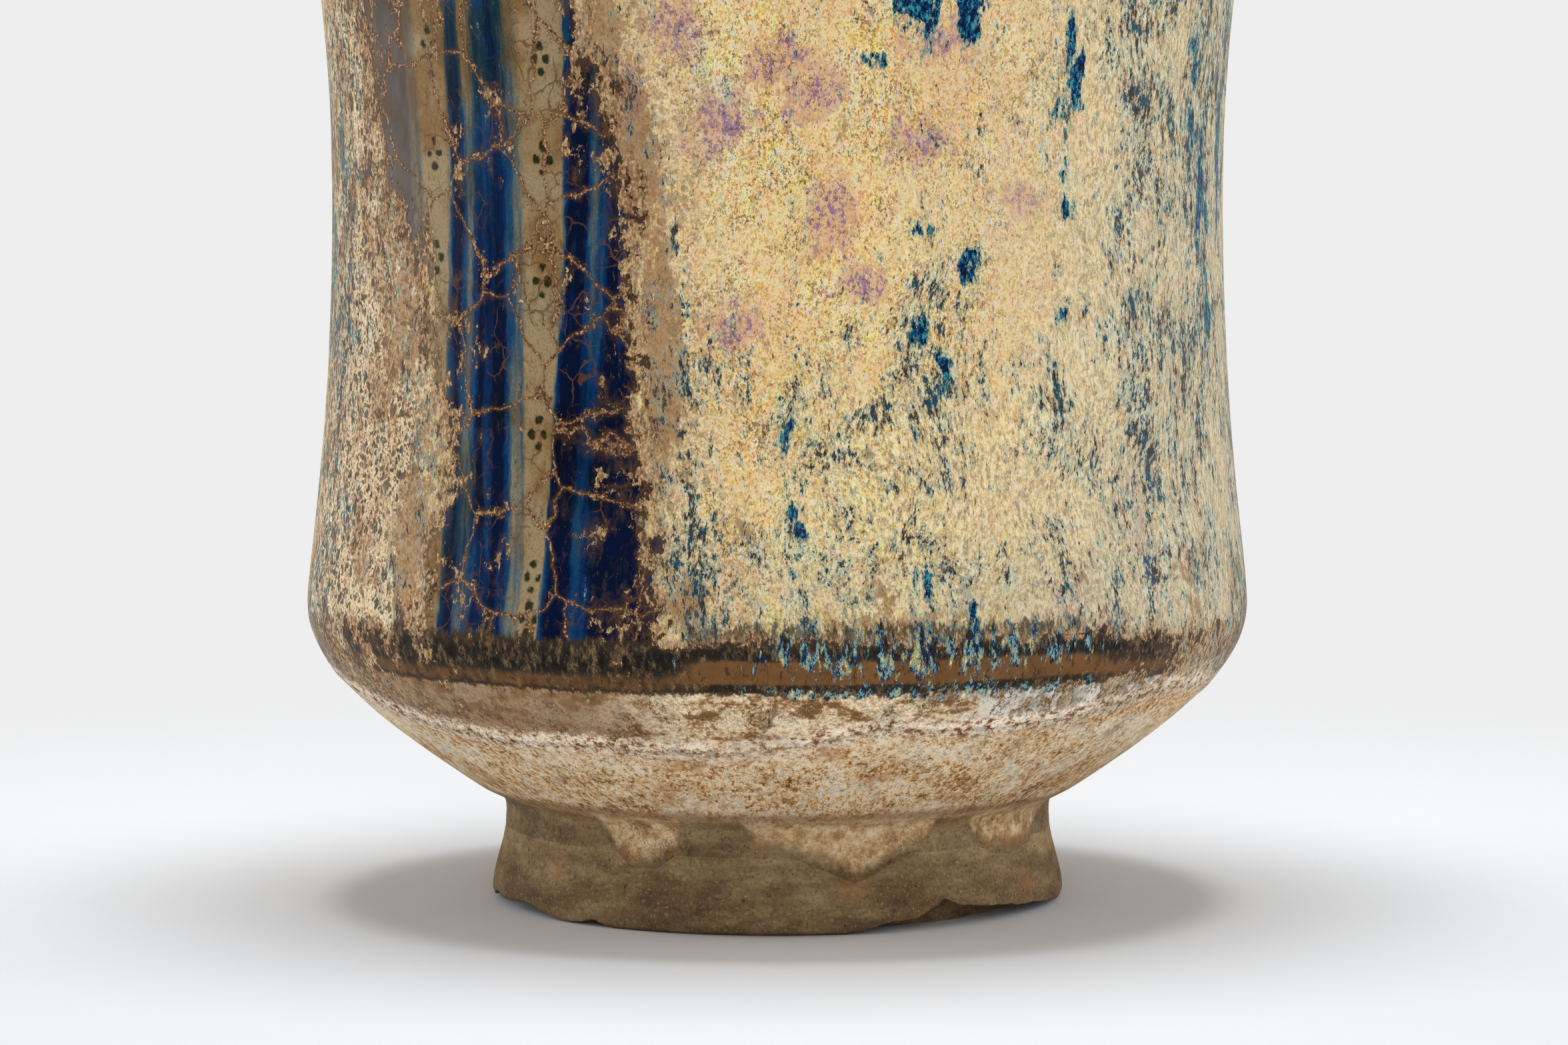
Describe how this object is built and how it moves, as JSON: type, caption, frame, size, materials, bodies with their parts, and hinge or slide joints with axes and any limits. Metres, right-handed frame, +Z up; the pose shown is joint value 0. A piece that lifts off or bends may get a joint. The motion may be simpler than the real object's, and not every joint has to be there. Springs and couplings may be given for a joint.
{
  "type": "glazed ceramic storage jar",
  "caption": "Waisted glazed stonepaste storage jar on a flared foot ring, with a rounded shoulder, short neck and everted rim, striped under a weathered crust.",
  "frame": {"origin": "centre of the foot ring's underside, on the surface that the jar stands on", "axes": "+Z up along the jar's axis; -Y towards the side with the bare striped window, +X to the right as seen from there"},
  "size_m": [0.1618, 0.1618, 0.2397],
  "materials": {
    "paste": "fired stonepaste, bare, sandy and dull",
    "slip": "fired luting slip, fine and dull",
    "outer_glaze": "cobalt-striped alkaline glaze, weathered to a dull golden crust",
    "inner_glaze": "thin pale glaze, crackled, satin"
  },
  "bodies": {
    "root": {"foot_ring": "paste", "base_bowl": "paste", "body_wall": "paste", "shoulder": "paste", "neck_collar": "paste", "foot_slip": "slip", "base_slip": "slip", "shoulder_slip": "slip", "neck_slip": "slip", "base_seam_coil": "paste", "shoulder_seam_coil": "paste", "outer_glaze": "outer_glaze", "inner_glaze": "inner_glaze"}
  },
  "joints": []
}
